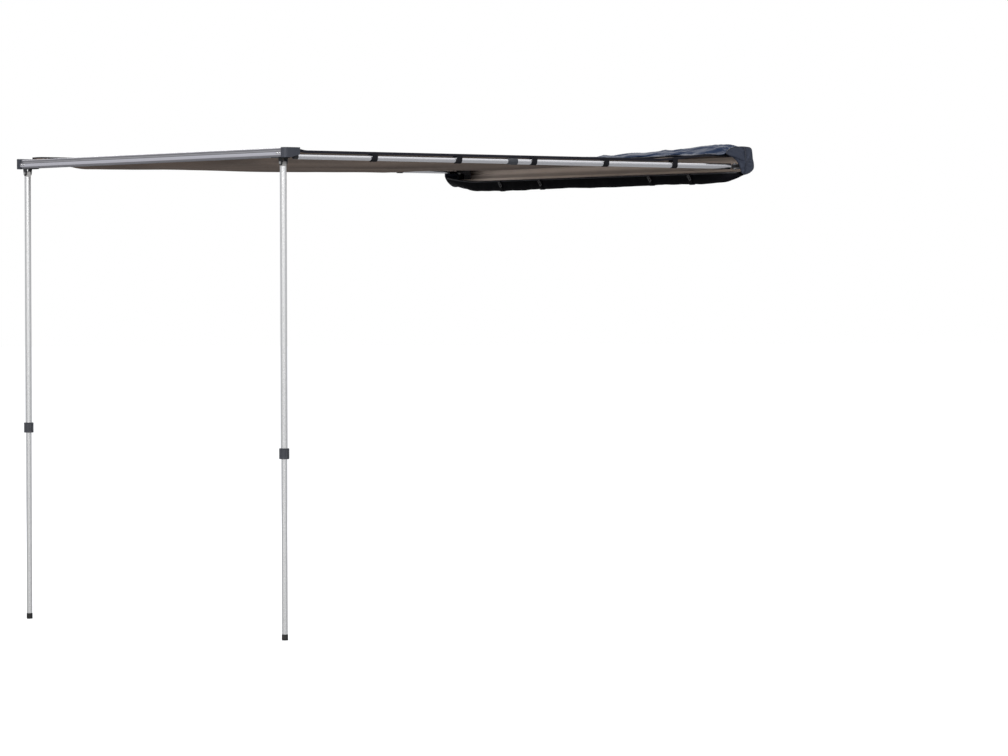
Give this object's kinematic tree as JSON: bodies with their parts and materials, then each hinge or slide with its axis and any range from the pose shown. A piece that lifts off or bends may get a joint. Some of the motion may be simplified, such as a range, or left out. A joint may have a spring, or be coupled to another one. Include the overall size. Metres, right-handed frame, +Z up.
{
  "type": "vehicle side awning",
  "caption": "Pull-out side awning: wall rail, swinging telescopic rafters, leading beam with folding telescopic legs, cloth canopy and an opened soft travel cover.",
  "frame": {"origin": "centre of the rail's flat back face", "axes": "+X along the rail to its near end; +Y out of the rail's back, towards the vehicle; +Z up; the awning reaches out along -Y"},
  "size_m": [2.0156, 2.6189, 2.0573],
  "materials": {
    "extrusion": "satin anodised extrusion",
    "tube": "bright drawn tube",
    "grey_plastic": "moulded dark grey nylon",
    "black_plastic": "moulded black nylon",
    "rubber": "matt black rubber",
    "steel": "zinc plated steel",
    "canopy_cloth": "coated woven cloth, taupe grey",
    "cover_cloth": "glossy blue-black coated cloth",
    "webbing": "black webbing and hook-and-loop tape"
  },
  "bodies": {
    "root": {"base_rail": "extrusion", "rail_end_cap_near": "black_plastic", "pivot_bracket_near": "grey_plastic", "pivot_bolt_near": "steel", "rack_bracket_near": "steel", "rail_end_cap_far": "black_plastic", "pivot_bracket_far": "grey_plastic", "pivot_bolt_far": "steel", "rack_bracket_far": "steel", "rack_bolt_near_low": "steel", "rack_bolt_near_high": "steel", "rack_bolt_far_low": "steel", "rack_bolt_far_high": "steel", "cover_trough": "cover_cloth", "cover_flap": "cover_cloth", "cover_end_near": "cover_cloth", "cover_end_far": "cover_cloth", "stow_strap_1": "webbing", "stow_strap_2": "webbing", "stow_strap_3": "webbing", "stow_strap_4": "webbing", "canopy": "canopy_cloth", "canopy_tie_near_1": "webbing", "canopy_tie_near_2": "webbing", "canopy_tie_near_3": "webbing", "canopy_tie_near_4": "webbing", "canopy_tie_near_5": "webbing", "canopy_tie_far_1": "webbing", "canopy_tie_far_2": "webbing", "canopy_tie_far_3": "webbing", "canopy_tie_far_4": "webbing", "canopy_tie_far_5": "webbing"},
    "beam": {"leading_beam": "extrusion", "beam_corner_near": "grey_plastic", "leg_bracket_near": "black_plastic", "leg_hinge_pin_near": "steel", "beam_corner_far": "grey_plastic", "leg_bracket_far": "black_plastic", "leg_hinge_pin_far": "steel"},
    "rafter_near": {"rafter_near_eye": "black_plastic", "rafter_near_outer_tube": "tube"},
    "rafter_near_lock": {"rafter_near_twist_lock": "black_plastic"},
    "rafter_near_inner": {"rafter_near_inner_tube": "tube", "rafter_near_tip": "black_plastic"},
    "leg_near": {"leg_near_head": "grey_plastic", "leg_near_upper_tube": "tube"},
    "leg_near_lock": {"leg_near_twist_lock": "black_plastic"},
    "leg_near_lower": {"leg_near_lower_tube": "tube", "leg_near_foot": "rubber"},
    "rafter_far": {"rafter_far_eye": "black_plastic", "rafter_far_outer_tube": "tube"},
    "rafter_far_lock": {"rafter_far_twist_lock": "black_plastic"},
    "rafter_far_inner": {"rafter_far_inner_tube": "tube", "rafter_far_tip": "black_plastic"},
    "leg_far": {"leg_far_head": "grey_plastic", "leg_far_upper_tube": "tube"},
    "leg_far_lock": {"leg_far_twist_lock": "black_plastic"},
    "leg_far_lower": {"leg_far_lower_tube": "tube", "leg_far_foot": "rubber"}
  },
  "joints": [
    {"name": "beam_travel", "type": "slide", "parent": "root", "child": "beam", "axis": [0, 1, 0], "range_m": [0, 1.04], "deforming": ["canopy", "canopy_tie_near_1", "canopy_tie_near_2", "canopy_tie_near_3", "canopy_tie_near_4", "canopy_tie_near_5", "canopy_tie_far_1", "canopy_tie_far_2", "canopy_tie_far_3", "canopy_tie_far_4", "canopy_tie_far_5"]},
    {"name": "rafter_near_swing", "type": "hinge", "parent": "root", "child": "rafter_near", "pos_m": [0.97, -0.065, -0.013], "axis": [0, 0, -1], "range_deg": [0, 87.5]},
    {"name": "rafter_near_slide", "type": "slide", "parent": "rafter_near", "child": "rafter_near_inner", "axis": [0, 1, 0], "range_m": [0, 1.04]},
    {"name": "rafter_near_lock_turn", "type": "hinge", "parent": "rafter_near", "child": "rafter_near_lock", "pos_m": [0.97, -1.326, -0.013], "axis": [0, -1, 0], "range_deg": [0, 90]},
    {"name": "leg_near_swing", "type": "hinge", "parent": "beam", "child": "leg_near", "pos_m": [0.915, -2.48, -0.0375], "axis": [0, 1, 0], "range_deg": [0, 90]},
    {"name": "leg_near_slide", "type": "slide", "parent": "leg_near", "child": "leg_near_lower", "axis": [0, 0, 1], "range_m": [-0.2, 0.7]},
    {"name": "leg_near_lock_turn", "type": "hinge", "parent": "leg_near", "child": "leg_near_lock", "pos_m": [0.915, -2.48, -1.223], "axis": [0, 0, 1], "range_deg": [0, 90]},
    {"name": "rafter_far_swing", "type": "hinge", "parent": "root", "child": "rafter_far", "pos_m": [-0.97, -0.065, 0.013], "axis": [0, 0, 1], "range_deg": [0, 87.5]},
    {"name": "rafter_far_slide", "type": "slide", "parent": "rafter_far", "child": "rafter_far_inner", "axis": [0, 1, 0], "range_m": [0, 1.04]},
    {"name": "rafter_far_lock_turn", "type": "hinge", "parent": "rafter_far", "child": "rafter_far_lock", "pos_m": [-0.97, -1.326, 0.013], "axis": [0, -1, 0], "range_deg": [0, 90]},
    {"name": "leg_far_swing", "type": "hinge", "parent": "beam", "child": "leg_far", "pos_m": [-0.915, -2.52, -0.0375], "axis": [0, -1, 0], "range_deg": [0, 90]},
    {"name": "leg_far_slide", "type": "slide", "parent": "leg_far", "child": "leg_far_lower", "axis": [0, 0, 1], "range_m": [-0.2, 0.7]},
    {"name": "leg_far_lock_turn", "type": "hinge", "parent": "leg_far", "child": "leg_far_lock", "pos_m": [-0.915, -2.52, -1.148], "axis": [0, 0, 1], "range_deg": [0, 90]}
  ],
  "couplings": [
    {"joint": "rafter_near_slide", "follows": "beam_travel", "ratio": 1},
    {"joint": "rafter_far_slide", "follows": "beam_travel", "ratio": 1}
  ]
}
